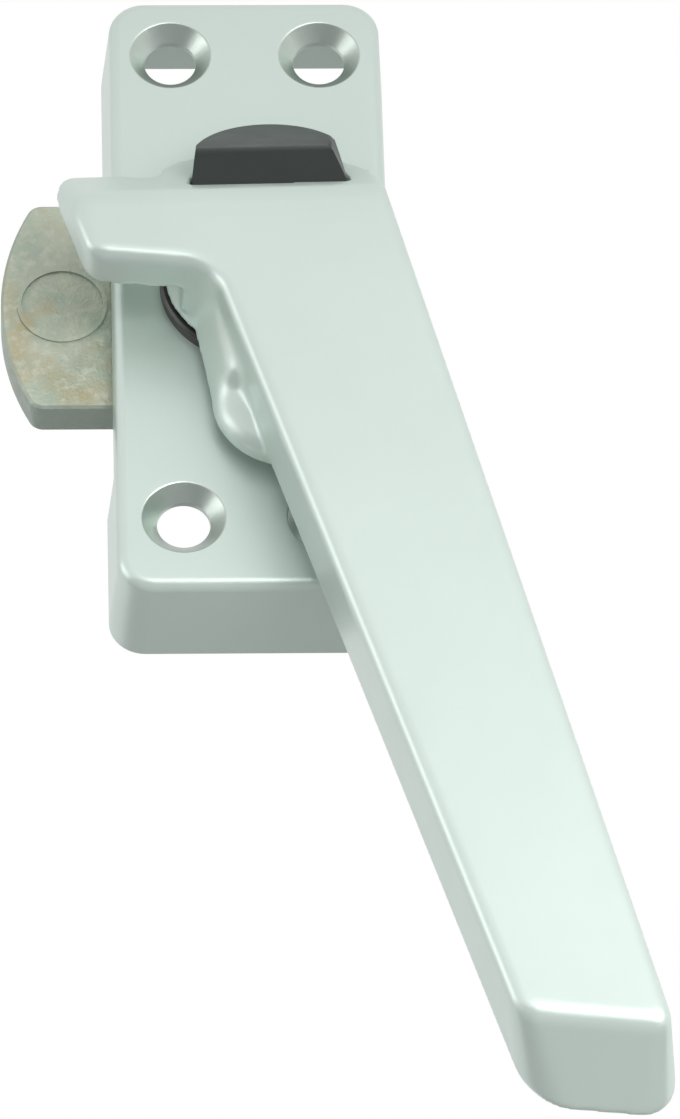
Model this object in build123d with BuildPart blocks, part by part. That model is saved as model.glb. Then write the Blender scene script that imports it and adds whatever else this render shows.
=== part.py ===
from build123d import *
from math import asin, cos, degrees, radians, sin, tan
import os

# Window lock: a hollow cast backplate, a cranked handle with a nose, a cam
# behind the backplate, and a push button that frees the handle.
# Frame: X to the right, Z up, the mounting face at Y = 0 and the front at -Y.
# The turning axis runs along Y through the origin.
# A height is a distance from the mounting face towards the front.

# Backplate
plate_width = 34.0
plate_height = 85.6
plate_depth = 13.0
plate_corner = 4.2
plate_draft = 4.0
plate_edge = 1.3
plate_wall = 1.4
face_wall = 2.4

# Screw holes in the backplate
top_row = 33.8
bottom_row = -32.4
top_span = 17.8
bottom_span = 16.8
screw_bore = 6.2
sink_diameter = 9.7
sink_angle = 90.0

# Clearances
slip = 0.3
turn_gap = 0.06
seat_gap = 0.05

# Index ring and bush
ring_diameter = 21.4
ring_thickness = 1.7
ring_rim = 0.3
spigot_diameter = 16.0
notch_width = 3.0
notch_start = 6.9
notch_depth = 0.9
key_width = 3.0
key_depth = 1.0
bush_diameter = 13.0

# Spindle
journal_diameter = 11.0
neck_diameter = 8.0
square_size = 7.0
cam_square = 8.0
tail_diameter = 7.6
groove_diameter = 6.2
spindle_chamfer = 0.4
socket_depth = 3.8

# Cam and its stop
cam_thickness = 4.6
cam_back = 4.6
cam_width = 29.0
cam_reach = 29.3
cam_corner = 1.8
cam_edge = 0.3
cam_relief = 11.2
cam_swing = 90.0
mark_outer = 10.6
mark_line = 0.5
mark_height = 0.25
mark_centre = -22.1
stop_diameter = 3.0
stop_circle = 13.0
stop_angle = 45.0
stop_back = 5.0
stop_seat = 1.4

# Washers and retaining ring
thrust_diameter = 18.0
thrust_bore = 11.6
thrust_thickness = 0.6
disc_outer = 17.0
disc_sheet = 0.4
washer_diameter = 15.0
washer_thickness = 1.2
clip_thickness = 1.0
clip_width = 2.0
clip_gap = 3.4
clip_spread = 42.0
clip_hole = 0.9

# Handle, seen from the front
handle_front = 27.0
hub_back = 15.0
hub_diameter = 20.6
grip_thickness = 10.5
nose_thickness = 5.8
grip_draft = 1.5
nose_reach = -19.1
nose_end_lean = 17.9
nose_bottom = -5.0
nose_bottom_lean = 5.5
inner_corner_x = -4.9
inner_round = 3.5
grip_left_lean = 17.34
grip_right_lean = 14.03
head_right = 15.75
head_top = 3.8
head_tilt = 1.6
grip_end = -107.6
grip_end_x = 35.4
grip_end_lean = 6.0
end_slope = 31.8
head_slope = 49.7
grip_edge = 1.9
back_edge = 1.0
nose_corner = 2.0
nose_shoulder = 3.0
end_corner_left = 4.5
end_corner_right = 3.5
nose_root = -8.4

# Rounded housing on the back of the head
shoulder_left = -12.4
shoulder_left_height = 22.0
body_left = -7.6
body_right = 10.9
shoulder_right_height = 25.5
shoulder_round = 2.0
bulge_x = 4.2
bulge_z = -17.9
bulge_radius = 9.25
bulge_thickness = 3.5
bulge_front_edge = 2.4
bulge_back_edge = 0.5
hub_length = 6.4
hub_draft = 18.0
waist_left = -8.2
waist_right = 9.6
waist_round = 3.0

# Push button
button_x = 2.1
button_half_width = 9.1
button_depth = 7.9
button_front = 24.2
button_rise = 4.8
button_lean_left = 6.0
button_lean_right = 19.5
button_corner = 1.8
button_edge = 0.4
button_gap = 0.25
button_travel = 4.0
button_skirt = 5.4
button_heel = 8.8
button_arch = 14.3
button_lip = 22.6
button_rest = 17.55

# Locking slide, its pin and its rivet
slide_thickness = 1.2
slide_radius = 5.6
slide_head_left = -2.4
slide_head_right = 6.6
slide_head_low = 4.5
slide_head_top = 13.3
slide_tail_left = 0.8
slide_tail_right = 7.2
slide_tail_end = -10.0
slide_tab_top = 21.3
lock_pin_diameter = 2.0
lock_pin_x = 2.9
lock_pin_z = -8.2
rivet_diameter = 2.4
rivet_z = 11.2
rivet_length = 4.4
rivet_head = 4.0

# Return spring of the button
spring_x = 4.0
spring_height = 19.0
spring_diameter = 5.0
spring_wire = 0.6
spring_turns = 5
wire_sides = 6
spring_seat = -22.5
spring_bore = 5.8
guide_diameter = 2.8
guide_length = 8.8
guide_root = 2.0

# Cover over the slide
cover_inset = 0.2
cover_thickness = 0.8
cover_flange = 0.6
cover_foot_x = 10.2
cover_foot_z = -16.2
cover_foot_radius = 2.4
cover_screw_bore = 2.0
cover_screw_head = 3.4
cover_screw_length = 3.8
cover_screw_slot = 0.5

# Cross pin
pin_diameter = 2.2
pin_length = 16.0
pin_end_x = 12.2

def side(angle):
    """Sideways step for each millimetre along, at an angle in degrees."""
    return tan(radians(angle))


# Places that follow from the sizes above
ring_front = plate_depth + ring_thickness
face_inside = plate_depth - face_wall
cam_front = cam_back + cam_thickness
thrust_back = face_inside - thrust_thickness
washer_back = cam_back - washer_thickness
clip_back = washer_back - clip_thickness
cover_back = hub_back + cover_inset
cover_front = cover_back + cover_thickness
slide_back = cover_front + slip
slide_front = slide_back + slide_thickness
socket_start = slide_front + slip
socket_end = socket_start + socket_depth
pin_height = (socket_start + socket_end) / 2
grip_back = handle_front - grip_thickness
nose_back = handle_front - nose_thickness
stop_x = stop_circle * cos(radians(stop_angle))
stop_z = stop_circle * sin(radians(stop_angle))
waist_low = bulge_x - bulge_radius
button_left = button_x - button_half_width
button_right = button_x + button_half_width
button_foot = head_top + (handle_front - button_front) * side(head_slope)


def at(height):
    """Plane parallel to the mounting face, with its normal to the front."""
    return Plane.XZ.offset(height)


def between(left, right, low, high, gap):
    """Rectangle given by its sides, grown by a gap all round."""
    with Locations(((left + right) / 2, (low + high) / 2)):
        Rectangle(right - left + 2 * gap, high - low + 2 * gap)


def slide_outline(grow, drop):
    """Outline of the slide, grown all round and stretched down by its travel."""
    with Locations((0, (button_travel - drop) / 2)):
        SlotCenterToCenter(button_travel + drop, 2 * (slide_radius + grow), rotation=90)
    between(slide_head_left, slide_head_right, slide_head_low - drop, slide_head_top, grow)
    between(slide_tail_left, slide_tail_right, slide_tail_end - drop, 0, grow)


def cover_outline(grow):
    """Outline of the cover: the slide's swept outline with a flange and a foot."""
    slide_outline(slip + cover_flange + grow, button_travel)
    with Locations((cover_foot_x, cover_foot_z)):
        Circle(cover_foot_radius + grow)
    foot_low = cover_foot_z - cover_foot_radius
    between(slide_tail_right, cover_foot_x, foot_low, cover_foot_z + cover_foot_radius, grow)


def button_section(gap):
    """Plan of the button: an arc to the back, flat to the front, a round corner."""
    front = -button_front - gap
    left = button_left - gap
    right = button_right + gap
    with BuildSketch() as section:
        with BuildLine():
            Line((left, front), (right, front))
            ThreePointArc((left, front), (button_x, front + button_depth + 2 * gap), (right, front))
        make_face()
        fillet(section.vertices().sort_by(Axis.X)[0], button_corner)
    return section.sketch


def button_body(gap, drop):
    """Button below the sloping face, or its bore with a gap and a drop."""
    steps = (
        (handle_front, button_skirt),
        (button_lip - gap, button_heel),
        (button_rest - gap, button_arch),
    )
    with BuildPart() as body:
        with BuildSketch(Plane.XY):
            add(button_section(gap))
        extrude(amount=reach_up, both=True)
        split(bisect_by=head_plane, keep=Keep.BOTTOM)
        for height, level in steps:
            with BuildSketch(Plane.XY.offset(level - drop)):
                with Locations((0, -height / 2)):
                    Rectangle(4 * button_half_width, height)
            extrude(amount=-2 * reach_up, mode=Mode.SUBTRACT)
    return body.part


# Cast backplate with draft, a rounded front edge and an open back
with BuildPart() as housing:
    with BuildSketch(at(0)):
        RectangleRounded(plate_width, plate_height, plate_corner)
    extrude(amount=plate_depth, taper=plate_draft)
    fillet(housing.faces().sort_by(Axis.Y)[0].edges(), plate_edge)
    inside_width = plate_width - 2 * plate_wall
    inside_height = plate_height - 2 * plate_wall
    with BuildSketch(at(0)):
        RectangleRounded(inside_width, inside_height, plate_corner - plate_wall)
    extrude(amount=face_inside, taper=plate_draft, mode=Mode.SUBTRACT)
    # Hole for the ring's spigot, with two keyways
    with BuildSketch(at(face_inside)):
        Circle(spigot_diameter / 2 + seat_gap)
        with PolarLocations(spigot_diameter / 2, 2):
            Rectangle(2 * key_depth + 2 * seat_gap, key_width + 2 * seat_gap)
    extrude(amount=face_wall, mode=Mode.SUBTRACT)
    # Blind hole for the stop pin
    with BuildSketch(at(face_inside)):
        with Locations((stop_x, stop_z)):
            Circle(stop_diameter / 2)
    extrude(amount=stop_seat, mode=Mode.SUBTRACT)
    # Countersunk screw holes
    for row, span in ((top_row, top_span), (bottom_row, bottom_span)):
        with Locations(at(plate_depth)):
            with Locations((-span / 2, row), (span / 2, row)):
                CounterSinkHole(
                    radius=screw_bore / 2,
                    counter_sink_radius=sink_diameter / 2,
                    counter_sink_angle=sink_angle,
                )
    # Window in the left wall for the cam, open at the back
    window_top = cam_width / 2 + slip
    with BuildSketch(at(0)):
        Circle(cam_reach + slip)
        with Locations((-plate_width / 2, window_top - cam_reach)):
            Rectangle(4 * plate_wall, 2 * cam_reach, mode=Mode.INTERSECT)
    extrude(amount=cam_front + slip, mode=Mode.SUBTRACT)
housing.part.label = "housing"

# Plastic ring between plate and handle, with two notches for the lock pin
with BuildPart() as index_ring:
    with BuildSketch(at(plate_depth)):
        Circle(ring_diameter / 2)
    extrude(amount=ring_thickness)
    chamfer(index_ring.faces().sort_by(Axis.Y)[0].edges(), ring_rim)
    with BuildSketch(at(face_inside)):
        Circle(spigot_diameter / 2)
        with PolarLocations(spigot_diameter / 2, 2):
            Rectangle(2 * key_depth, key_width)
    extrude(amount=face_wall)
    with BuildSketch(at(face_inside)):
        Circle(bush_diameter / 2)
    extrude(amount=ring_front - face_inside, mode=Mode.SUBTRACT)
    notch_length = ring_diameter / 2 - notch_start + 1
    with BuildSketch(at(ring_front)):
        with Locations((lock_pin_x, -notch_start - notch_length / 2)):
            Rectangle(notch_width, notch_length)
        with Locations((notch_start + notch_length / 2, lock_pin_x)):
            Rectangle(notch_length, notch_width)
    extrude(amount=-notch_depth, mode=Mode.SUBTRACT)
index_ring.part.label = "index_ring"

# Bronze bush in which the spindle's journal turns
with BuildPart() as bearing_bush:
    with BuildSketch(at(face_inside)):
        Circle(bush_diameter / 2)
        Circle(journal_diameter / 2 + turn_gap, mode=Mode.SUBTRACT)
    extrude(amount=ring_front - face_inside)
bearing_bush.part.label = "bearing_bush"

# Hardened pin that stops the cam at both ends of its swing
with BuildPart() as stop_pin:
    with BuildSketch(at(stop_back)):
        with Locations((stop_x, stop_z)):
            Circle(stop_diameter / 2)
    extrude(amount=face_inside + stop_seat - stop_back)
    chamfer(stop_pin.faces().sort_by(Axis.Y)[-1].edges(), spindle_chamfer)
stop_pin.part.label = "stop_pin"

# Steel spindle: square in the handle, journal, square for the cam, grooved tail
with BuildPart() as spindle:
    with BuildSketch(at(cam_front)):
        Circle(journal_diameter / 2)
    extrude(amount=cover_back - cam_front)
    with BuildSketch(at(cover_back)):
        Circle(neck_diameter / 2)
    extrude(amount=socket_start - cover_back)
    with BuildSketch(at(socket_start)):
        Rectangle(square_size, square_size)
    extrude(amount=socket_depth)
    chamfer(spindle.faces().sort_by(Axis.Y)[0].edges(), spindle_chamfer)
    with BuildSketch(at(cam_back)):
        Rectangle(cam_square, cam_square)
    extrude(amount=cam_thickness)
    with BuildSketch(at(clip_back - clip_thickness)):
        Circle(tail_diameter / 2)
    extrude(amount=cam_back - clip_back + clip_thickness)
    chamfer(spindle.faces().sort_by(Axis.Y)[-1].edges(), spindle_chamfer)
    with BuildSketch(at(clip_back)):
        Circle(tail_diameter / 2)
        Circle(groove_diameter / 2, mode=Mode.SUBTRACT)
    extrude(amount=clip_thickness, mode=Mode.SUBTRACT)
    # Cross hole for the pin
    with BuildSketch(Plane.YZ.offset(-square_size)):
        with Locations((-pin_height, 0)):
            Circle(pin_diameter / 2)
    extrude(amount=2 * square_size, mode=Mode.SUBTRACT)
spindle.part.label = "spindle"

# Cross pin through handle and spindle
with BuildPart() as spindle_pin:
    with BuildSketch(Plane.YZ.offset(pin_end_x - pin_length)):
        with Locations((-pin_height, 0)):
            Circle(pin_diameter / 2)
    extrude(amount=pin_length)
    chamfer(spindle_pin.faces().sort_by(Axis.X)[0].edges(), cam_edge)
spindle_pin.part.label = "spindle_pin"

# Die-cast cam: a round hub and a tongue whose tip is an arc about the axis
with BuildPart() as cam:
    stop_play = degrees(asin((stop_diameter / 2 + seat_gap) / stop_circle))
    relief_half = cam_swing / 2 + stop_play
    relief_far = 3 * stop_circle
    relief_x = relief_far * cos(radians(relief_half))
    relief_z = relief_far * sin(radians(relief_half))
    with BuildSketch(at(cam_back)) as cam_outline:
        Circle(cam_reach)
        with Locations((-cam_reach / 2, 0)):
            Rectangle(cam_reach, cam_width, mode=Mode.INTERSECT)
        fillet(cam_outline.vertices().group_by(Axis.X)[0], cam_corner)
        Circle(cam_width / 2)
        with BuildLine():
            Polyline((0, 0), (relief_x, relief_z), (relief_x, -relief_z), close=True)
        make_face(mode=Mode.SUBTRACT)
        Circle(cam_relief)
        Rectangle(cam_square, cam_square, mode=Mode.SUBTRACT)
    extrude(amount=cam_thickness)
    front_rim = cam.faces().sort_by(Axis.Y)[0].outer_wire().edges()
    chamfer(front_rim, cam_edge)
    # Plain raised circle on the tongue
    with BuildSketch(at(cam_front)):
        with Locations((mark_centre, 0)):
            Circle(mark_outer / 2)
            Circle(mark_outer / 2 - mark_line, mode=Mode.SUBTRACT)
    extrude(amount=mark_height)
cam.part.label = "cam"

# Conical spring washer that keeps the cam drawn back
with BuildPart() as disc_spring:
    with BuildSketch(Plane.XY):
        with BuildLine():
            disc_top = thrust_back - seat_gap
            inner = (thrust_bore / 2, -cam_front)
            outer = (disc_outer / 2, disc_sheet - disc_top)
            outer_top = (disc_outer / 2, -disc_top)
            inner_top = (thrust_bore / 2, -cam_front - disc_sheet)
            Polyline(inner, outer, outer_top, inner_top, close=True)
        make_face()
    revolve(axis=Axis.Y)
disc_spring.part.label = "disc_spring"

# Flat washer under the backplate's face
with BuildPart() as thrust_washer:
    with BuildSketch(at(thrust_back)):
        Circle(thrust_diameter / 2)
        Circle(thrust_bore / 2, mode=Mode.SUBTRACT)
    extrude(amount=thrust_thickness)
thrust_washer.part.label = "thrust_washer"

# Plain washer behind the cam
with BuildPart() as cam_washer:
    with BuildSketch(at(washer_back)):
        Circle(washer_diameter / 2)
        Circle(tail_diameter / 2 + turn_gap, mode=Mode.SUBTRACT)
    extrude(amount=washer_thickness)
    chamfer(cam_washer.faces().sort_by(Axis.Y)[-1].outer_wire().edges(), cam_edge)
cam_washer.part.label = "cam_washer"

# Retaining ring in the spindle's groove, open at one side, a hole in each end
with BuildPart() as cam_circlip:
    with BuildSketch(at(clip_back)) as clip_outline:
        clip_radius = groove_diameter / 2 + seat_gap
        clip_middle = clip_radius + clip_width / 2
        Circle(clip_radius + clip_width)
        Circle(clip_radius, mode=Mode.SUBTRACT)
        with Locations((0, -clip_middle)):
            Rectangle(clip_gap, 2 * clip_width, mode=Mode.SUBTRACT)
        for turn in (-90 - clip_spread, -90 + clip_spread):
            with PolarLocations(clip_middle, 1, start_angle=turn):
                Circle(clip_hole / 2, mode=Mode.SUBTRACT)
    extrude(amount=clip_thickness)
cam_circlip.part.label = "cam_circlip"

# Planes that slope the head and the end of the grip
head_turn = radians(head_tilt)
head_tip = radians(head_slope)
head_normal = (-sin(head_turn) * cos(head_tip), -sin(head_tip), cos(head_turn) * cos(head_tip))
head_plane = Plane(
    origin=(0, -handle_front, head_top),
    x_dir=(cos(head_turn), 0, sin(head_turn)),
    z_dir=head_normal,
)
tip_plane = Plane(
    origin=(0, -handle_front, head_top + button_rise),
    x_dir=head_plane.x_dir,
    z_dir=head_plane.z_dir,
)
end_turn = radians(grip_end_lean)
end_tip = radians(end_slope)
end_normal = (-sin(end_turn) * cos(end_tip), -sin(end_tip), -cos(end_turn) * cos(end_tip))
end_plane = Plane(
    origin=(grip_end_x, -handle_front, grip_end),
    x_dir=(cos(end_turn), 0, -sin(end_turn)),
    z_dir=end_normal,
)
reach_up = 26.0
reach_down = -126.0
inner_corner_z = nose_bottom - (inner_corner_x - nose_reach) * side(nose_bottom_lean)

# Hub and waist behind the head, drawn in towards the front, and a low round pad
with BuildPart() as hub:
    with BuildSketch(at(hub_back)) as hub_outline:
        Circle(hub_diameter / 2)
        with BuildLine():
            Polyline(
                (waist_left, 0),
                (waist_low, bulge_z),
                (bulge_x + bulge_radius, bulge_z),
                (waist_right, 0),
                close=True,
            )
        make_face()
        fillet(hub_outline.vertices().group_by(Axis.Z)[0], waist_round)
    extrude(amount=hub_length, taper=hub_draft)
with BuildPart() as bulge:
    with BuildSketch(at(hub_back)):
        with Locations((bulge_x, bulge_z)):
            Circle(bulge_radius)
    extrude(amount=bulge_thickness)
    fillet(bulge.faces().sort_by(Axis.Y)[0].edges(), bulge_front_edge)
    fillet(bulge.faces().sort_by(Axis.Y)[-1].edges(), bulge_back_edge)

# Housing of the button: one section along the head
with BuildPart() as shoulder:
    with BuildSketch(Plane.XY) as shoulder_section:
        with BuildLine():
            Polyline(
                (shoulder_left, -shoulder_right_height),
                (shoulder_left, -shoulder_left_height),
                (body_left, -hub_back),
                (body_right, -hub_back),
                (head_right - shoulder_round, -shoulder_right_height),
                close=True,
            )
        make_face()
        fillet(shoulder_section.vertices().group_by(Axis.Y)[-1], shoulder_round)
    extrude(amount=reach_up)
    split(bisect_by=head_plane, keep=Keep.BOTTOM)

# Button below the sloping face, and the bore it travels in
button_lower = button_body(0, 0)
button_bore = button_body(button_gap, button_travel + slip)

# Die-cast handle
with BuildPart() as handle:
    # Nose, head and grip as one outline, drafted towards the front
    with BuildSketch(at(grip_back)) as grip_outline:
        with BuildLine():
            nose_up_x = nose_reach - (reach_up - nose_bottom) * side(nose_end_lean)
            left_low_x = inner_corner_x + (inner_corner_z - reach_down) * side(grip_left_lean)
            right_low_x = head_right + (head_top - reach_down) * side(grip_right_lean)
            right_top_x = head_right - (reach_up - head_top) * side(grip_right_lean)
            Polyline(
                (nose_reach, nose_bottom),
                (inner_corner_x, inner_corner_z),
                (left_low_x, reach_down),
                (right_low_x, reach_down),
                (right_top_x, reach_up),
                (nose_up_x, reach_up),
                close=True,
            )
        make_face()
        offset(amount=grip_thickness * side(grip_draft), kind=Kind.INTERSECTION)
        corners = grip_outline.vertices()
        fillet(corners.sort_by_distance((inner_corner_x, -grip_back, inner_corner_z))[0], inner_round)
        corners = grip_outline.vertices()
        fillet(corners.sort_by_distance((nose_reach, -grip_back, nose_bottom))[0], nose_corner)
    extrude(amount=grip_thickness, taper=grip_draft)
    # Sloping faces of the head and of the end, then corners and rims rounded
    split(bisect_by=head_plane, keep=Keep.BOTTOM)
    split(bisect_by=end_plane, keep=Keep.BOTTOM)
    slope_sides = handle.faces().filter_by(lambda face: face.is_coplanar(head_plane)).edges()
    fillet(slope_sides.sort_by(Axis.X)[0], nose_shoulder)
    end_sides = handle.faces().sort_by(Axis.Z)[0].edges().sort_by(Axis.X)
    fillet(end_sides[0], end_corner_left)
    end_sides = handle.faces().sort_by(Axis.Z)[0].edges().sort_by(Axis.X)
    fillet(end_sides[-1], end_corner_right)
    fillet(handle.faces().sort_by(Axis.Y)[0].edges(), grip_edge)
    back_rim = handle.faces().sort_by(Axis.Y)[-1].edges()
    fillet(back_rim.filter_by_position(Axis.Z, reach_down, nose_bottom), back_edge)
    # The nose is thinner than the grip
    with BuildSketch(at(grip_back - 1)):
        with Locations((nose_root - reach_up, 0)):
            Rectangle(2 * reach_up, 4 * reach_up)
    extrude(amount=nose_back - grip_back + 1, mode=Mode.SUBTRACT)
    add(hub.part)
    add(bulge.part)
    add(shoulder.part)
    # Pocket for the slide and its bent tail, open to the back
    with BuildSketch(at(hub_back)):
        slide_outline(slip, button_travel)
    extrude(amount=socket_start - hub_back, mode=Mode.SUBTRACT)
    with BuildSketch(at(socket_start)):
        tab_low = slide_tail_end - button_travel
        tab_high = slide_tail_end + slide_thickness
        between(slide_tail_left, slide_tail_right, tab_low, tab_high, slip)
    extrude(amount=slide_tab_top + slip - socket_start, mode=Mode.SUBTRACT)
    # Seat for the cover and a hole for its screw
    with BuildSketch(at(hub_back)):
        cover_outline(seat_gap)
    extrude(amount=cover_front - hub_back, mode=Mode.SUBTRACT)
    with BuildSketch(at(cover_front)):
        with Locations((cover_foot_x, cover_foot_z)):
            Circle(cover_screw_bore / 2)
    extrude(amount=cover_screw_length, mode=Mode.SUBTRACT)
    # Square socket and cross hole for the spindle
    with BuildSketch(at(socket_start)):
        Rectangle(square_size + 2 * seat_gap, square_size + 2 * seat_gap)
    extrude(amount=socket_depth, mode=Mode.SUBTRACT)
    with BuildSketch(Plane.YZ.offset(pin_end_x - pin_length)):
        with Locations((-pin_height, 0)):
            Circle(pin_diameter / 2)
    extrude(amount=2 * pin_length, mode=Mode.SUBTRACT)
    # Bore for the button
    add(button_bore, mode=Mode.SUBTRACT)
    # Bore for the return spring and hole for its guide
    with BuildSketch(Plane.XY.offset(spring_seat)):
        with Locations((spring_x, -spring_height)):
            Circle(spring_bore / 2)
    extrude(amount=slide_tail_end - spring_seat, mode=Mode.SUBTRACT)
    with BuildSketch(Plane.XY.offset(spring_seat)):
        with Locations((spring_x, -spring_height)):
            Circle(guide_diameter / 2)
    extrude(amount=-guide_root, mode=Mode.SUBTRACT)
handle.part.label = "handle"

# Push button: the plan of its bore, narrower towards its sloping tip
with BuildPart() as push_button:
    with BuildSketch(Plane.XY):
        add(button_section(0))
    extrude(amount=reach_up)
    split(bisect_by=tip_plane, keep=Keep.BOTTOM)
    split(bisect_by=head_plane, keep=Keep.TOP)
    tip_face = push_button.faces().filter_by(lambda face: face.is_coplanar(tip_plane))
    fillet(tip_face.edges(), button_edge)
    with BuildSketch(at(button_front)):
        with BuildLine():
            lean_height = reach_up - button_foot
            Polyline(
                (button_left, button_skirt),
                (button_right, button_skirt),
                (button_right, button_foot),
                (button_right - lean_height * side(button_lean_right), reach_up),
                (button_left + lean_height * side(button_lean_left), reach_up),
                (button_left, button_foot),
                close=True,
            )
        make_face()
    extrude(amount=-2 * button_depth, mode=Mode.INTERSECT)
    add(button_lower)
    with BuildSketch(at(button_rest)):
        with Locations((button_x, rivet_z)):
            Circle(rivet_diameter / 2)
    extrude(amount=rivet_length - slide_thickness, mode=Mode.SUBTRACT)
push_button.part.label = "push_button"

# Steel slide riveted to the button: a slot round the spindle and a bent tail
with BuildPart() as locking_slide:
    with BuildSketch(at(slide_back)):
        slide_outline(0, 0)
        with Locations((0, button_travel / 2)):
            slot_width = neck_diameter + 2 * slip
            SlotCenterToCenter(button_travel, slot_width, rotation=90, mode=Mode.SUBTRACT)
        with Locations((button_x, rivet_z)):
            Circle(rivet_diameter / 2, mode=Mode.SUBTRACT)
        with Locations((lock_pin_x, lock_pin_z)):
            Circle(lock_pin_diameter / 2, mode=Mode.SUBTRACT)
    extrude(amount=slide_thickness)
    with BuildSketch(at(slide_front)):
        tab_top = slide_tail_end + slide_thickness
        between(slide_tail_left, slide_tail_right, slide_tail_end, tab_top, 0)
    extrude(amount=slide_tab_top - slide_front)
    with Locations(at(slide_back)):
        with Locations((button_x, rivet_z)):
            sink = (rivet_head - rivet_diameter) / 2
            Cone(
                rivet_head / 2,
                rivet_diameter / 2,
                sink,
                align=(Align.CENTER, Align.CENTER, Align.MIN),
                mode=Mode.SUBTRACT,
            )
locking_slide.part.label = "locking_slide"

# Countersunk rivet that joins slide and button
with BuildPart() as slide_rivet:
    with BuildSketch(at(slide_back)):
        with Locations((button_x, rivet_z)):
            Circle(rivet_diameter / 2)
    extrude(amount=rivet_length)
    with Locations(at(slide_back)):
        with Locations((button_x, rivet_z)):
            Cone(
                rivet_head / 2,
                rivet_diameter / 2,
                (rivet_head - rivet_diameter) / 2,
                align=(Align.CENTER, Align.CENTER, Align.MIN),
            )
slide_rivet.part.label = "slide_rivet"

# Pin on the slide that belongs to the ring's notches
with BuildPart() as lock_pin:
    with BuildSketch(at(ring_front + slip)):
        with Locations((lock_pin_x, lock_pin_z)):
            Circle(lock_pin_diameter / 2)
    extrude(amount=slide_front - ring_front - slip)
    chamfer(lock_pin.faces().sort_by(Axis.Y)[-1].edges(), ring_rim)
lock_pin.part.label = "lock_pin"

# Wound return spring of the button
with BuildPart() as button_spring:
    coil_height = slide_tail_end - spring_seat - spring_wire
    coil_centre = (spring_x, -spring_height, spring_seat + spring_wire / 2)
    with BuildLine() as coil:
        Helix(
            pitch=coil_height / spring_turns,
            height=coil_height,
            radius=(spring_diameter - spring_wire) / 2,
            center=coil_centre,
        )
    with BuildSketch(Plane(origin=coil.line @ 0, z_dir=coil.line % 0)):
        RegularPolygon(radius=spring_wire / 2, side_count=wire_sides)
    sweep()
button_spring.part.label = "button_spring"

# Guide pin inside the spring
with BuildPart() as spring_guide:
    with BuildSketch(Plane.XY.offset(spring_seat - guide_root)):
        with Locations((spring_x, -spring_height)):
            Circle(guide_diameter / 2)
    extrude(amount=guide_length)
    chamfer(spring_guide.faces().sort_by(Axis.Z)[-1].edges(), spindle_chamfer)
spring_guide.part.label = "spring_guide"

# Sheet cover over the slide's pocket, trapped by the journal's shoulder
with BuildPart() as hub_cover:
    with BuildSketch(at(cover_back)):
        cover_outline(0)
        Circle(neck_diameter / 2 + seat_gap, mode=Mode.SUBTRACT)
        with Locations((lock_pin_x, lock_pin_z - button_travel / 2)):
            pin_slot = lock_pin_diameter + 2 * slip
            SlotCenterToCenter(button_travel, pin_slot, rotation=90, mode=Mode.SUBTRACT)
    extrude(amount=cover_thickness)
    with Locations(at(cover_back)):
        with Locations((cover_foot_x, cover_foot_z)):
            Cone(
                cover_screw_head / 2,
                cover_screw_bore / 2,
                cover_thickness,
                align=(Align.CENTER, Align.CENTER, Align.MIN),
                mode=Mode.SUBTRACT,
            )
hub_cover.part.label = "hub_cover"

# Countersunk screw of the cover, slotted
with BuildPart() as cover_screw:
    with Locations(at(cover_back)):
        with Locations((cover_foot_x, cover_foot_z)):
            Cone(
                cover_screw_head / 2,
                cover_screw_bore / 2,
                cover_thickness,
                align=(Align.CENTER, Align.CENTER, Align.MIN),
            )
    with BuildSketch(at(cover_front)):
        with Locations((cover_foot_x, cover_foot_z)):
            Circle(cover_screw_bore / 2)
    extrude(amount=cover_screw_length)
    with BuildSketch(at(cover_back)):
        with Locations((cover_foot_x, cover_foot_z)):
            Rectangle(cover_screw_head, cover_screw_slot)
    extrude(amount=cover_screw_slot, mode=Mode.SUBTRACT)
cover_screw.part.label = "cover_screw"

os.makedirs("parts", exist_ok=True)
pieces = (
    housing,
    index_ring,
    bearing_bush,
    stop_pin,
    spindle,
    spindle_pin,
    cam,
    disc_spring,
    thrust_washer,
    cam_washer,
    cam_circlip,
    handle,
    push_button,
    locking_slide,
    slide_rivet,
    lock_pin,
    button_spring,
    spring_guide,
    hub_cover,
    cover_screw,
)
for piece in pieces:
    export_step(piece.part, "parts/" + piece.part.label + ".step")
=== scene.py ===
import math

import bpy
from mathutils import Matrix, Vector


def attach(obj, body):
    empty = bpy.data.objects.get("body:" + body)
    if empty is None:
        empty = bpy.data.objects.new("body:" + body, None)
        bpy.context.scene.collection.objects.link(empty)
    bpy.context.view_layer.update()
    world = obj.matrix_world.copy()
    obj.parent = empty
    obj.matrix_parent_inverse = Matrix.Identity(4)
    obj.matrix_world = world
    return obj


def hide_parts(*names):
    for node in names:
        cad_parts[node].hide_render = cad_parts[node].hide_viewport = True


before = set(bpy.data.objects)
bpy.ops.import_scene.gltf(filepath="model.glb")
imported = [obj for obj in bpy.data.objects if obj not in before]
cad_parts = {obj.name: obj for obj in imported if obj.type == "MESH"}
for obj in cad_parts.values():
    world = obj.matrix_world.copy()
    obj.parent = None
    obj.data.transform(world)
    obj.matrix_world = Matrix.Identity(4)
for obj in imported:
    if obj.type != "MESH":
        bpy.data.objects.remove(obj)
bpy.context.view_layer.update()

# Camera: a long lens low in front of the lock and a little to its left, with
# the distance and the field of view found from the straight edges.
turn = math.radians(2.91)
rise = math.radians(33.145)
roll = math.radians(-1.894)
look = Vector((math.sin(turn) * math.cos(rise), math.cos(turn) * math.cos(rise), math.sin(rise)))
level = Vector((math.cos(turn), -math.sin(turn), 0.0))
lift = level.cross(look)
side = level * math.cos(roll) + lift * math.sin(roll)
top = lift * math.cos(roll) - level * math.sin(roll)
aim = Vector((0.009418, -0.013, -0.038368))
distance = 0.936449
focal_pixels = 8156.806
picture_height = 1119.0
sensor = 36.0
stand = aim - look * distance
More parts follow.
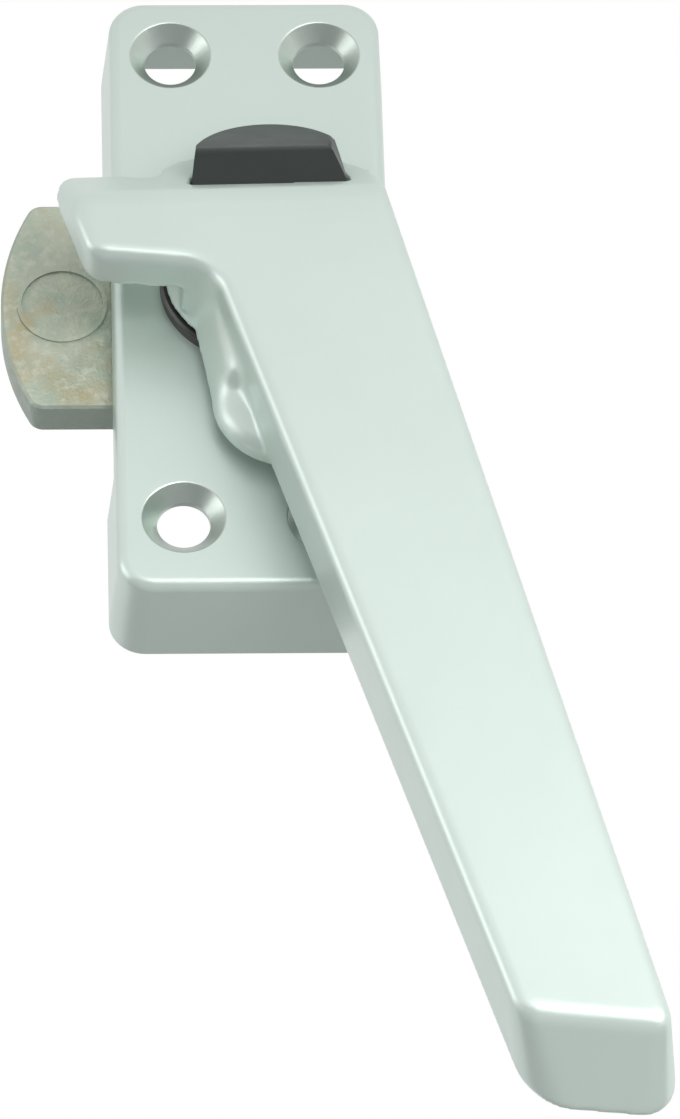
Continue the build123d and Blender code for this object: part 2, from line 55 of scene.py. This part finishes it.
bpy.ops.object.select_all(action="DESELECT")
bpy.ops.object.camera_add(location=stand)
camera = bpy.context.object
camera.matrix_world = Matrix((
    (side.x, top.x, -look.x, stand.x),
    (side.y, top.y, -look.y, stand.y),
    (side.z, top.z, -look.z, stand.z),
    (0, 0, 0, 1),
))
camera.data.sensor_fit = "VERTICAL"
camera.data.sensor_width = sensor
camera.data.sensor_height = sensor
camera.data.lens = focal_pixels / picture_height * sensor
camera.data.clip_end = 20.0
bpy.context.scene.camera = camera
bpy.context.scene.view_settings.view_transform = "Standard"

# Backplate: a hollow zinc casting, open at the back, with drafted walls and a
# rounded front edge. It is barrel finished and lacquered in satin silver, and
# its four screw holes are countersunk after that, down to the bare metal.
mm = 0.001
plate_size = (34.0, 13.0, 85.6)
plate_draft = math.sin(math.radians(4.0))
plate_wall = 1.4
plate_face = 10.6
plate_corner = 4.2
plate_rim = 1.3
spigot_radius = 8.05
stop_pin_place = 9.19
screw_holes = ((-8.9, 33.8), (8.9, 33.8), (-8.4, -32.4), (8.4, -32.4))
screw_radius = 3.1
sink_radius = 4.85
sink_limit = 4.95
window_radius = 29.6


def spot(x, height, z):
    """Point given in millimetres, with its height from the mounting face."""
    return Vector((x, -height, z)) * mm


def added(name):
    """Name the primitive just added, with its size and place in its mesh."""
    piece = bpy.context.object
    piece.name = name
    bpy.ops.object.transform_apply(location=True, rotation=True, scale=True)
    return piece


def block(name, low, high):
    """Rough block between two corners."""
    bpy.ops.object.select_all(action="DESELECT")
    size = [abs(b - a) * mm for a, b in zip(low, high)]
    middle = [(a + b) / 2 for a, b in zip(low, high)]
    bpy.ops.mesh.primitive_cube_add(size=1, location=spot(*middle), scale=size)
    return added(name)


def turned(name, x, z, back, front, back_radius, front_radius, sides=96):
    """Round or conical form whose axis stands on the mounting face."""
    bpy.ops.object.select_all(action="DESELECT")
    bpy.ops.mesh.primitive_cone_add(
        vertices=sides,
        radius1=back_radius * mm,
        radius2=front_radius * mm,
        depth=(front - back) * mm,
        location=spot(x, (back + front) / 2, z),
        rotation=(math.pi / 2, 0, 0),
    )
    return added(name)


def upright(name, x, height, low, high, radius, sides=160):
    """Round form whose axis runs up and down."""
    bpy.ops.object.select_all(action="DESELECT")
    bpy.ops.mesh.primitive_cylinder_add(
        vertices=sides,
        radius=radius * mm,
        depth=(high - low) * mm,
        location=spot(x, height, (low + high) / 2),
    )
    return added(name)


def saw(piece, place, way):
    """Cut away what lies beyond a plane and close the cut."""
    bpy.context.view_layer.objects.active = piece
    bpy.ops.object.mode_set(mode="EDIT")
    bpy.ops.mesh.select_all(action="SELECT")
    normal = Vector((way[0], -way[1], way[2])).normalized()
    bpy.ops.mesh.bisect(plane_co=spot(*place), plane_no=normal, use_fill=True, clear_outer=True)
    bpy.ops.object.mode_set(mode="OBJECT")


def settle(piece, modifier):
    """Apply a modifier."""
    bpy.ops.object.select_all(action="DESELECT")
    piece.select_set(True)
    bpy.context.view_layer.objects.active = piece
    bpy.ops.object.modifier_apply(modifier=modifier.name)


def combine(piece, tool, operation):
    """Join a form to a piece, or cut it out of the piece."""
    modifier = piece.modifiers.new(operation.lower(), "BOOLEAN")
    modifier.operation = operation
    modifier.solver = "EXACT"
    modifier.object = tool
    settle(piece, modifier)
    bpy.data.objects.remove(tool)


def tidy_faces(piece, merge=0.002):
    """Merge points that lie together and dissolve the lines inside flat faces."""
    bpy.context.view_layer.objects.active = piece
    bpy.ops.object.mode_set(mode="EDIT")
    bpy.ops.mesh.select_all(action="SELECT")
    bpy.ops.mesh.remove_doubles(threshold=merge * mm)
    bpy.ops.mesh.dissolve_limited(angle_limit=0.002)
    bpy.ops.object.mode_set(mode="OBJECT")


def round_edges(piece, radius_at, steps):
    """Round the edges to which radius_at gives a radius, from their two ends."""
    mesh = piece.data
    radii = []
    for edge in mesh.edges:
        ends = [mesh.vertices[v].co / mm for v in edge.vertices]
        ends = [(end.x, -end.y, end.z) for end in ends]
        radii.append(radius_at(*ends))
    widest = max(radii)
    weights = mesh.attributes.new("bevel_weight_edge", "FLOAT", "EDGE")
    for number, radius in enumerate(radii):
        weights.data[number].value = radius / widest
    modifier = piece.modifiers.new("round", "BEVEL")
    modifier.limit_method = "WEIGHT"
    modifier.width = widest * mm
    modifier.segments = steps
    modifier.use_clamp_overlap = False
    modifier.miter_outer = "MITER_ARC"
    settle(piece, modifier)
    spent = mesh.attributes.get("bevel_weight_edge")
    if spent:
        mesh.attributes.remove(spent)


def shade(piece, degrees):
    """Smooth shading that keeps flat faces flat."""
    bpy.ops.object.select_all(action="DESELECT")
    piece.select_set(True)
    bpy.context.view_layer.objects.active = piece
    bpy.ops.object.shade_smooth_by_angle(angle=math.radians(degrees))
    modifier = piece.modifiers.new("flats", "WEIGHTED_NORMAL")
    modifier.keep_sharp = True
    modifier.weight = 100
    settle(piece, modifier)


def drafted_box(name, width, height, low, high, corner):
    """Box whose walls lean in towards the front, with round corners."""
    box = block(name, (-width, low, -height), (width, high, height))
    for x, z in ((1, 0), (-1, 0), (0, 1), (0, -1)):
        saw(box, (x * width / 2, 0, z * height / 2), (x, plate_draft, z))
    round_edges(box, lambda a, b: corner if abs(a[1] - b[1]) > 1 else 0, 10)
    return box


housing = drafted_box("backplate", plate_size[0], plate_size[2], 0, plate_size[1], plate_corner)
round_edges(housing, lambda a, b: plate_rim if min(a[1], b[1]) > plate_size[1] - 0.01 else 0, 6)
inside = drafted_box(
    "inside",
    plate_size[0] - 2 * plate_wall,
    plate_size[2] - 2 * plate_wall,
    -2,
    plate_face,
    plate_corner - plate_wall,
)
combine(housing, inside, "DIFFERENCE")
spigot_hole = turned("spigot hole", 0, 0, 5, 15, spigot_radius, spigot_radius)
combine(housing, spigot_hole, "DIFFERENCE")
for way in (-1, 1):
    keyway = block("keyway", (way * 7 - 2.05, 9, -1.55), (way * 7 + 2.05, 15, 1.55))
    combine(housing, keyway, "DIFFERENCE")
pin_hole = turned("stop pin hole", stop_pin_place, stop_pin_place, 5, 12, 1.5, 1.5, 32)
combine(housing, pin_hole, "DIFFERENCE")
for x, z in screw_holes:
    screw_hole = turned("screw hole", x, z, 5, 15, screw_radius, screw_radius, 72)
    combine(housing, screw_hole, "DIFFERENCE")
    combine(housing, turned("countersink", x, z, 10.9, 13.5, 2.75, 5.35, 72), "DIFFERENCE")
window = turned("cam window", 0, 0, -1, 9.5, window_radius, window_radius, 128)
saw(window, (-14.2, 0, 0), (1, 0, 0))
saw(window, (0, 0, 14.8), (0, 0, 1))
combine(housing, window, "DIFFERENCE")
tidy_faces(housing)


def rim_of_hole(a, b):
    """A small radius where both ends lie on a countersink's rim."""
    on_rim = 0
    for x, z in screw_holes:
        for end in (a, b):
            away = math.hypot(end[0] - x, end[2] - z)
            if end[1] > plate_size[1] - 0.01 and abs(away - sink_radius) < 0.05:
                on_rim += 1
    return 0.16 if on_rim == 2 else 0


round_edges(housing, rim_of_hole, 3)
shade(housing, 32)


def surface(name, *pieces):
    """A new material on whole pieces, with its nodes and its shader."""
    material = bpy.data.materials.new(name)
    material.use_nodes = True
    for piece in pieces:
        piece.data.materials.clear()
        piece.data.materials.append(material)
    return material, material.node_tree.nodes, material.node_tree.links


def new_group(name, wanted, given):
    """An empty node group with named inputs and outputs."""
    group = bpy.data.node_groups.new(name, "ShaderNodeTree")
    for label, kind, value in wanted:
        socket = group.interface.new_socket(label, in_out="INPUT", socket_type=kind)
        socket.default_value = value
    for label, kind in given:
        group.interface.new_socket(label, in_out="OUTPUT", socket_type=kind)
    source = group.nodes.new("NodeGroupInput")
    target = group.nodes.new("NodeGroupOutput")
    return group, group.nodes, group.links, source.outputs, target.inputs


def noise_node(nodes, links, vector, scale, detail):
    """A noise pattern on the object's own coordinates."""
    node = nodes.new("ShaderNodeTexNoise")
    node.inputs["Detail"].default_value = detail
    if isinstance(scale, float):
        node.inputs["Scale"].default_value = scale
    else:
        links.new(scale, node.inputs["Scale"])
    links.new(vector, node.inputs["Vector"])
    return node.outputs["Fac"]


def range_node(nodes, links, value, low, high, to_low, to_high):
    """Stretch a value's range to another one."""
    node = nodes.new("ShaderNodeMapRange")
    links.new(value, node.inputs["Value"])
    ends = (("From Min", low), ("From Max", high), ("To Min", to_low), ("To Max", to_high))
    for label, number in ends:
        if isinstance(number, (int, float)):
            node.inputs[label].default_value = number
        else:
            links.new(number, node.inputs[label])
    return node.outputs["Result"]


def mix_node(nodes, links, share, first, second):
    """Mix two colours by a share."""
    node = nodes.new("ShaderNodeMix")
    node.data_type = "RGBA"
    given = ((node.inputs[0], share), (node.inputs[6], first), (node.inputs[7], second))
    for socket, value in given:
        if isinstance(value, (int, float, tuple)):
            socket.default_value = value
        else:
            links.new(value, socket)
    return node.outputs[2]


# Skin of a finished metal: a broad drift of tone, a fine even grain that
# breaks up the gloss, and faint rubbed patches.
metal_skin, nodes, links, takes, gives = new_group(
    "metal_skin",
    (
        ("Light", "NodeSocketColor", (0.7, 0.78, 0.74, 1)),
        ("Dark", "NodeSocketColor", (0.6, 0.68, 0.64, 1)),
        ("Smooth", "NodeSocketFloat", 0.3),
        ("Rough", "NodeSocketFloat", 0.42),
        ("Drift", "NodeSocketFloat", 60.0),
        ("Grain", "NodeSocketFloat", 4000.0),
        ("Relief", "NodeSocketFloat", 0.05),
    ),
    (
        ("Color", "NodeSocketColor"),
        ("Roughness", "NodeSocketFloat"),
        ("Normal", "NodeSocketVector"),
    ),
)
place = nodes.new("ShaderNodeTexCoord").outputs["Object"]
drift = noise_node(nodes, links, place, takes["Drift"], 4.0)
grain = noise_node(nodes, links, place, takes["Grain"], 2.0)
rubbed = noise_node(nodes, links, place, 260.0, 6.0)
share = range_node(nodes, links, drift, 0.0, 1.0, 0.0, 1.0)
links.new(mix_node(nodes, links, share, takes["Light"], takes["Dark"]), gives["Color"])
worn = range_node(nodes, links, rubbed, 0.0, 1.0, takes["Smooth"], takes["Rough"])
links.new(worn, gives["Roughness"])
relief = nodes.new("ShaderNodeBump")
relief.inputs["Distance"].default_value = 0.0001
links.new(takes["Relief"], relief.inputs["Strength"])
links.new(grain, relief.inputs["Height"])
links.new(relief.outputs["Normal"], gives["Normal"])


def skin_on(nodes, links, metallic, **values):
    """Put the metal skin on a material with its own values."""
    node = nodes.new("ShaderNodeGroup")
    node.node_tree = metal_skin
    for label, value in values.items():
        node.inputs[label].default_value = value
    shader = nodes["Principled BSDF"]
    shader.inputs["Metallic"].default_value = metallic
    links.new(node.outputs["Color"], shader.inputs["Base Color"])
    links.new(node.outputs["Roughness"], shader.inputs["Roughness"])
    links.new(node.outputs["Normal"], shader.inputs["Normal"])
    return shader


satin_silver, nodes, links = surface("satin_silver", housing)
skin_on(
    nodes, links, 0.42,
    Light=(0.67, 0.775, 0.72, 1), Dark=(0.60, 0.70, 0.65, 1),
    Smooth=0.28, Rough=0.40, Drift=45.0, Grain=3600.0, Relief=0.06,
)
cut_metal, nodes, links = surface("cut_metal")
skin_on(
    nodes, links, 1.0,
    Light=(0.52, 0.58, 0.54, 1), Dark=(0.42, 0.48, 0.44, 1),
    Smooth=0.28, Rough=0.42, Drift=420.0, Grain=5200.0, Relief=0.15,
)
housing.data.materials.append(cut_metal)
for face in housing.data.polygons:
    middle = face.center / mm
    for x, z in screw_holes:
        if math.hypot(middle.x - x, middle.z - z) < sink_limit and -face.normal.y < 0.98:
            face.material_index = 1
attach(housing, "base")
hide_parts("housing")

# Handle: one zinc die casting, with a nose that pulls the sash in, a sloping
# head, a long grip, and a hub behind them with a low pad for the spring. Flat
# on the front, every rim rounded, and finished like the backplate.
head_way = (-math.sin(math.radians(1.6)) * 0.6468, 0.7627, math.cos(math.radians(1.6)) * 0.6468)
end_way = (-math.sin(math.radians(6.0)) * 0.8499, 0.5270, -math.cos(math.radians(6.0)) * 0.8499)
handle_draft = math.sin(math.radians(1.5))
front_height = 27.0
grip_height = 16.5
nose_height = 21.2
hub_height = 15.0
hub_top = 21.4
slope_top = 3.8
front_rim = 1.5
back_rim = 1.0
rim_merge = 0.14


def leaning(x_side, z_side, degrees):
    """Outward way of a drafted wall that leans by an angle."""
    angle = math.radians(degrees)
    return (x_side * math.cos(angle), handle_draft, z_side * math.sin(angle))


handle = block("handle_casting", (-30, grip_height, -125), (60, front_height, 30))
saw(handle, (15.75, front_height, slope_top), leaning(1, 1, 14.03))
saw(handle, (-4.9, front_height, -6.37), leaning(-1, -1, 17.34))
saw(handle, (0, front_height, slope_top), head_way)
saw(handle, (35.4, front_height, -107.3), end_way)
saw(handle, (8.9, grip_height, 16.2), (0.642, -0.62, 0.452))
nose = block("nose", (-40, grip_height, -20), (4, front_height, 30))
saw(nose, (-19.1, front_height, -5.0), leaning(-1, -1, 17.9))
saw(nose, (-19.1, front_height, -5.0), leaning(-1, -1, 84.5))
saw(nose, (0, front_height, slope_top), head_way)
combine(handle, nose, "UNION")
tidy_faces(handle)
corners = (
    ((-4.9, -6.4), 3.5),
    ((-19.1, -5.0), 2.0),
    ((-23.2, 8.0), 3.2),
    ((27.4, -109.9), 2.3),
    ((44.6, -111.8), 2.3),
)


def corner_radius(a, b):
    """The radius of the named corner that an edge from front to back lies on."""
    if abs(a[1] - b[1]) < 3:
        return 0
    middle = ((a[0] + b[0]) / 2, (a[2] + b[2]) / 2)
    for place, radius in corners:
        if math.dist(place, middle) < 3:
            return radius
    return 0


def widen_corner(piece, place, share):
    """Scale the arc of a rounded corner at the back about the corner itself."""
    bpy.ops.object.select_all(action="DESELECT")
    bpy.context.view_layer.objects.active = piece
    bpy.ops.object.mode_set(mode="EDIT")
    bpy.ops.mesh.select_mode(type="VERT")
    bpy.ops.mesh.select_all(action="DESELECT")
    bpy.ops.object.mode_set(mode="OBJECT")
    corner_reach = 4.2
    for vertex in piece.data.vertices:
        near = (vertex.co - place).length < corner_reach * mm
        vertex.select = near and -vertex.co.y < (grip_height + 0.01) * mm
    bpy.ops.object.mode_set(mode="EDIT")
    bpy.ops.transform.resize(value=(share, 1, share), center_override=place)
    bpy.ops.object.mode_set(mode="OBJECT")


backs = [v.co.copy() for v in handle.data.vertices if -v.co.y < (grip_height + 0.01) * mm]
end_corners = []
for x, z, widening in ((26.9, -113, 1.9), (46, -115, 2.5)):
    guess = spot(x, grip_height, z)
    end_corners.append((min(backs, key=lambda co: (co - guess).length), widening))
round_edges(handle, corner_radius, 12)
for corner, widening in end_corners:
    widen_corner(handle, corner, widening)
round_edges(handle, lambda a, b: front_rim if min(a[1], b[1]) > front_height - 0.01 else 0, 8)
round_edges(handle, lambda a, b: back_rim if max(a[1], b[1]) < grip_height + 0.01 else 0, 6)
tidy_faces(handle, rim_merge)
combine(handle, block("nose relief", (-40, 10, -20), (-8.4, nose_height, 30)), "DIFFERENCE")
pad_x, pad_z = 4.2, -17.9
pad_height = 18.5
pad_radius = 9.25
hub = turned("hub", 0, 0, hub_height, hub_top, 10.3, 8.2)
waist = block("waist", (-15, hub_height, pad_z), (20, hub_top, 2))
saw(waist, (-8.2, hub_height, 0), (-0.985, 0.32, -0.173))
saw(waist, (9.6, hub_height, 0), (0.978, 0.32, 0.210))
combine(hub, waist, "UNION")
pad = turned("pad", pad_x, pad_z, hub_height, pad_height, pad_radius, pad_radius)


def pad_rim(a, b):
    """A wide radius on the pad's top and a small one at its foot."""
    if min(a[1], b[1]) > pad_height - 0.1:
        return 2.6
    return 0.4 if max(a[1], b[1]) < hub_height + 0.1 else 0


round_edges(pad, pad_rim, 8)
shoulder_back = 5.5
shoulder = block("shoulder", (-12.4, hub_height, -1), (13.75, 25.5, 30))
saw(shoulder, (-7.6, hub_height, 0), (-0.825, -0.565, 0))
saw(shoulder, (10.9, hub_height, 0), (0.965, -0.262, 0))


def shoulder_rim(a, b):
    """A radius on the shoulder's back edges that run up and down."""
    on_back = max(a[1], b[1]) < hub_height + 0.1
    return shoulder_back if on_back and abs(a[2] - b[2]) > 9 else 0


round_edges(shoulder, shoulder_rim, 8)
saw(shoulder, (0, front_height, slope_top), head_way)


def slope_rim(top, radius):
    """Give a radius to the edges with both ends on a sloping face."""
    def radius_at(a, b):
        for end in (a, b):
            level = (end[0] * head_way[0] + (end[1] - front_height) * head_way[1]
                     + (end[2] - top) * head_way[2])
            if abs(level) > 0.01:
                return 0
        return radius
    return radius_at


round_edges(shoulder, slope_rim(slope_top, 0.35), 3)


def cast_as_one(piece, voxel):
    """One even skin over forms that overlap."""
    bpy.context.view_layer.objects.active = piece
    bpy.ops.object.mode_set(mode="EDIT")
    bpy.ops.mesh.select_all(action="SELECT")
    bpy.ops.mesh.quads_convert_to_tris(ngon_method="BEAUTY")
    bpy.ops.object.mode_set(mode="OBJECT")
    skin = piece.modifiers.new("skin", "REMESH")
    skin.mode = "VOXEL"
    skin.voxel_size = voxel * mm
    settle(piece, skin)


def join_forms(forms):
    """Put overlapping forms into the first one's mesh."""
    bpy.ops.object.select_all(action="DESELECT")
    for form in forms:
        form.select_set(True)
    bpy.context.view_layer.objects.active = forms[0]
    bpy.ops.object.join()
    return forms[0]


join_forms([handle, hub, pad, shoulder])
cast_as_one(handle, 0.3)

# Push button: black glass-filled nylon, a round back and a flat front, with
# a sloping thumb face. It slides down in a bore that follows its outline.
button_x = 2.1
button_top = 8.6
button_front = 24.2
button_back = 16.3
button_half = 9.1
button_foot = 5.4
lean_start = 7.1


def button_form(name, gap, drop, top):
    """The button's body, or its bore with a gap and room to be pressed."""
    front = button_front + gap
    back = button_back - gap
    half = button_half + gap
    depth = front - back
    radius = (half * half + depth * depth) / (2 * depth)
    body = upright(name, button_x, back + radius, button_foot - drop, 40, radius)
    saw(body, (0, front, 0), (0, 1, 0))
    if top:
        saw(body, (0, front_height, top), head_way)
        left = button_x - half + 0.2
        round_edges(
            body,
            lambda a, b: 1.8 if max(a[0], b[0]) < left and abs(a[2] - b[2]) > 2 else 0,
            8,
        )
        right_way = (math.cos(0.34), 0.5, math.sin(0.34))
        left_way = (-math.cos(0.105), 0, math.sin(0.105))
        saw(body, (button_x + half, button_front, lean_start), right_way)
        saw(body, (button_x - half, 0, lean_start), left_way)
        round_edges(body, slope_rim(button_top, 0.7), 5)
    for height, level in ((22.6 - gap, 8.8 - drop), (17.55 - gap, 14.3 - drop)):
        combine(body, block("step", (-20, 0, -10), (20, height, level)), "DIFFERENCE")
    return body


button = button_form("thumb_button", 0, 0, button_top)
shade(button, 35)
_, nodes, links = surface("black_nylon", button)
shader = skin_on(
    nodes, links, 0.0,
    Light=(0.016, 0.024, 0.021, 1), Dark=(0.009, 0.014, 0.012, 1),
    Smooth=0.30, Rough=0.46, Drift=150.0, Grain=2600.0, Relief=0.25,
)
shader.inputs["Specular IOR Level"].default_value = 0.4
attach(button, "button")
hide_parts("push_button")

# Hollows of the handle: the button's bore, the pocket of the slide with its
# cover's seat, the square socket, and the holes for spring, pin and screw.
bore_gap = 0.3
bore_drop = 4.9
pocket_depth = 17.9
seat_depth = 16.0
socket_depth = 21.6
hollows = [button_form("bore", bore_gap, bore_drop, 0)]
for name, grow, low, high in (("pocket", 0.25, 14, pocket_depth), ("seat", 0.65, 14, seat_depth)):
    wide = 5.9 + grow
    hollows += [turned(name, 0, z, low, high, wide, wide, 64) for z in (-4, 4)]
    hollows.append(block(name, (-wide, low, -4), (wide, high, 4)))
    hollows.append(block(name, (-2.7 - grow, low, 0), (6.9 + grow, high, 13.6 + grow)))
    hollows.append(block(name, (0.5 - grow, low, -14.3 - grow), (7.5 + grow, high, 0)))
hollows += [
    turned("foot seat", 10.2, -16.2, 14, seat_depth, 2.45, 2.45, 48),
    block("foot seat", (7.2, 14, -18.6), (10.2, seat_depth, -13.8)),
    turned("screw hole", 10.2, -16.2, 15, 19.8, 1.0, 1.0, 32),
    block("socket", (-3.55, 17, -3.55), (3.55, socket_depth, 3.55)),
    block("tab pocket", (0.2, 17, -14.7), (7.8, socket_depth, -8.3)),
    upright("spring bore", 4.0, 19.0, -22.5, -10, 2.9, 48),
    upright("guide hole", 4.0, 19.0, -24.5, -20, 1.4, 32),
]
bpy.ops.object.select_all(action="DESELECT")
bpy.ops.mesh.primitive_cylinder_add(
    vertices=32,
    radius=1.15 * mm,
    depth=16 * mm,
    location=spot(4.2, 19.7, 0),
    rotation=(0, math.pi / 2, 0),
)
hollows.append(added("pin hole"))
hollow = join_forms(hollows)
cast_as_one(hollow, 0.25)
combine(handle, hollow, "DIFFERENCE")

# The casting's skin: the sharp joints between its forms melt into fillets, as
# the die's own rounded corners leave them, and the finish goes over all of it.
cast_as_one(handle, 0.36)
melt_from = 15.4
melt = handle.vertex_groups.new(name="melt")
melt_places = (
    ((-7.5, 20.0, -9.0), 4.5, 1.0),
    ((-5.0, 19.0, -14.0), 5.0, 1.0),
    ((-3.2, 18.8, -17.0), 5.5, 1.0),
    ((-12.0, 22.0, 11.5), 3.5, 0.9),
    ((8.9, 16.5, 16.0), 3.5, 1.0),
    ((13.6, 19.1, 13.2), 3.5, 1.0),
)
for vertex in handle.data.vertices:
    x, height, z = vertex.co.x / mm, -vertex.co.y / mm, vertex.co.z / mm
    weight = 0.0
    for place, reach, most in melt_places:
        share = 1.0 - math.dist(place, (x, height, z)) / reach
        weight = max(weight, min(1.0, 2 * share) * most)
    if weight > 0 and height > melt_from:
        melt.add([vertex.index], weight, "REPLACE")
soften = handle.modifiers.new("soften", "SMOOTH")
soften.factor = 0.5
soften.iterations = 3
settle(handle, soften)
flow = handle.modifiers.new("flow", "SMOOTH")
flow.factor = 0.6
flow.iterations = 90
flow.vertex_group = "melt"
settle(handle, flow)
handle.vertex_groups.clear()
bpy.ops.object.shade_smooth()
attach(handle, "lever")
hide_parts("handle")
handle.data.materials.clear()
handle.data.materials.append(satin_silver)

# Index ring: injection moulded black acetal between backplate and handle, a
# little oily from the grease on its spigot.
_, nodes, links = surface("ring_plastic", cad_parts["index_ring"])
skin_on(
    nodes, links, 0.0,
    Light=(0.030, 0.029, 0.027, 1), Dark=(0.014, 0.014, 0.013, 1),
    Smooth=0.28, Rough=0.42, Drift=240.0, Grain=1800.0, Relief=0.2,
)

# Cam: a zinc casting with a yellowish chromate that is left bare. Its skin is rough and blotched
# from beige to green and grey, and its faces that turn away from the front carry a painted shade
# of darker grey.
_, nodes, links = surface("chromate_zinc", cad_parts["cam"])
shader = nodes["Principled BSDF"]
place = nodes.new("ShaderNodeTexCoord").outputs["Object"]
cloud = noise_node(nodes, links, place, 210.0, 8.0)
spots = noise_node(nodes, links, place, 900.0, 6.0)
pits = noise_node(nodes, links, place, 2400.0, 5.0)
stain = noise_node(nodes, links, place, 130.0, 7.0)
cloud_share = range_node(nodes, links, cloud, 0.38, 0.62, 0.0, 1.0)
green = mix_node(nodes, links, cloud_share, (0.42, 0.49, 0.40, 1), (0.53, 0.56, 0.45, 1))
stain_share = range_node(nodes, links, stain, 0.5, 0.66, 0.0, 0.75)
warm = mix_node(nodes, links, stain_share, green, (0.47, 0.40, 0.23, 1))
fleck_share = range_node(nodes, links, spots, 0.5, 0.72, 0.0, 0.75)
flecked = mix_node(nodes, links, fleck_share, warm, (0.66, 0.68, 0.58, 1))
# Painted shade: faces whose normals turn away from the front (-Y) are mixed towards a darker
# grey, fully on walls and back.
normal = nodes.new("ShaderNodeSeparateXYZ")
links.new(nodes.new("ShaderNodeNewGeometry").outputs["Normal"], normal.inputs[0])
side_shade_share = range_node(nodes, links, normal.outputs["Y"], -0.97, -0.6, 0.0, 0.8)
tone = mix_node(nodes, links, side_shade_share, flecked, (0.30, 0.37, 0.33, 1))
links.new(tone, shader.inputs["Base Color"])
links.new(range_node(nodes, links, spots, 0.3, 0.7, 0.36, 0.62), shader.inputs["Roughness"])
shader.inputs["Metallic"].default_value = 0.4
relief = nodes.new("ShaderNodeBump")
relief.inputs["Distance"].default_value = 0.0004
relief.inputs["Strength"].default_value = 0.35
links.new(pits, relief.inputs["Height"])
links.new(relief.outputs["Normal"], shader.inputs["Normal"])

# Inner parts: turned and stamped steel, a bronze bush, and a hardened spring,
# all lightly oiled.
finishes = (
    ("bright_steel",
     ("spindle", "spindle_pin", "stop_pin", "slide_rivet", "lock_pin", "spring_guide"),
     (0.56, 0.56, 0.55, 1), (0.40, 0.40, 0.40, 1)),
    ("zinc_plated_sheet",
     ("thrust_washer", "cam_washer", "locking_slide", "hub_cover", "cover_screw"),
     (0.62, 0.63, 0.62, 1), (0.47, 0.49, 0.50, 1)),
    ("dark_spring_steel", ("button_spring", "disc_spring", "cam_circlip"),
     (0.20, 0.20, 0.21, 1), (0.11, 0.11, 0.12, 1)),
    ("oiled_bronze", ("bearing_bush",), (0.55, 0.36, 0.17, 1), (0.38, 0.24, 0.11, 1)),
)
for name, parts, light_tone, dark_tone in finishes:
    _, nodes, links = surface(name, *[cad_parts[part] for part in parts])
    skin_on(
        nodes, links, 1.0,
        Light=light_tone, Dark=dark_tone,
        Smooth=0.28, Rough=0.44, Drift=320.0, Grain=2800.0, Relief=0.15,
    )

# Studio: a soft light in front, a small one for crisp edges, a narrow one near
# the grip's end, and a soft one at the left, in a white surround. The pale
# floor keeps the lock's shadow.
lock_middle = (0.009, -0.013, -0.038)
grip_end = (0.040, -0.027, -0.118)
lamps = (
    ("front_light", (0.42, -0.85, -0.06), lock_middle, 0.8, 2.3, 180),
    ("edge_light", (-0.05, -0.9, -0.12), lock_middle, 0.05, 0.35, 180),
    ("low_light", (0.16, -0.33, -0.13), grip_end, 0.2, 0.075, 50),
    ("left_light", (-0.9, -0.25, 0.02), lock_middle, 0.5, 1.25, 180),
)
for name, where, target, size, power, spread in lamps:
    bpy.ops.object.select_all(action="DESELECT")
    bpy.ops.object.light_add(type="AREA", location=where)
    lamp = bpy.context.object
    lamp.name = name
    lamp.rotation_euler = (Vector(target) - Vector(where)).to_track_quat("-Z", "Y").to_euler()
    lamp.data.spread = math.radians(spread)
    lamp.data.size = size
    lamp.data.energy = power
studio = bpy.data.worlds.new("studio")
bpy.context.scene.world = studio
studio.use_nodes = True
nodes, links = studio.node_tree.nodes, studio.node_tree.links
rays = nodes.new("ShaderNodeLightPath")
seen = nodes.new("ShaderNodeMath")
seen.operation = "MAXIMUM"
links.new(rays.outputs["Is Camera Ray"], seen.inputs[0])
links.new(rays.outputs["Is Transmission Ray"], seen.inputs[1])
direct = nodes.new("ShaderNodeMath")
direct.operation = "MAXIMUM"
links.new(seen.outputs[0], direct.inputs[0])
links.new(rays.outputs["Is Glossy Ray"], direct.inputs[1])
strength = range_node(nodes, links, direct.outputs[0], 0.0, 1.0, 0.46, 1.0)
links.new(strength, nodes["Background"].inputs["Strength"])
nodes["Background"].inputs["Color"].default_value = (1, 1, 1, 1)

bpy.ops.object.select_all(action="DESELECT")
bpy.ops.mesh.primitive_plane_add(size=5, location=(0, 0, -0.9))
floor = added("floor")
_, nodes, links = surface("pale_floor", floor)
nodes["Principled BSDF"].inputs["Base Color"].default_value = (0.86, 0.86, 0.86, 1)
nodes["Principled BSDF"].inputs["Roughness"].default_value = 0.8
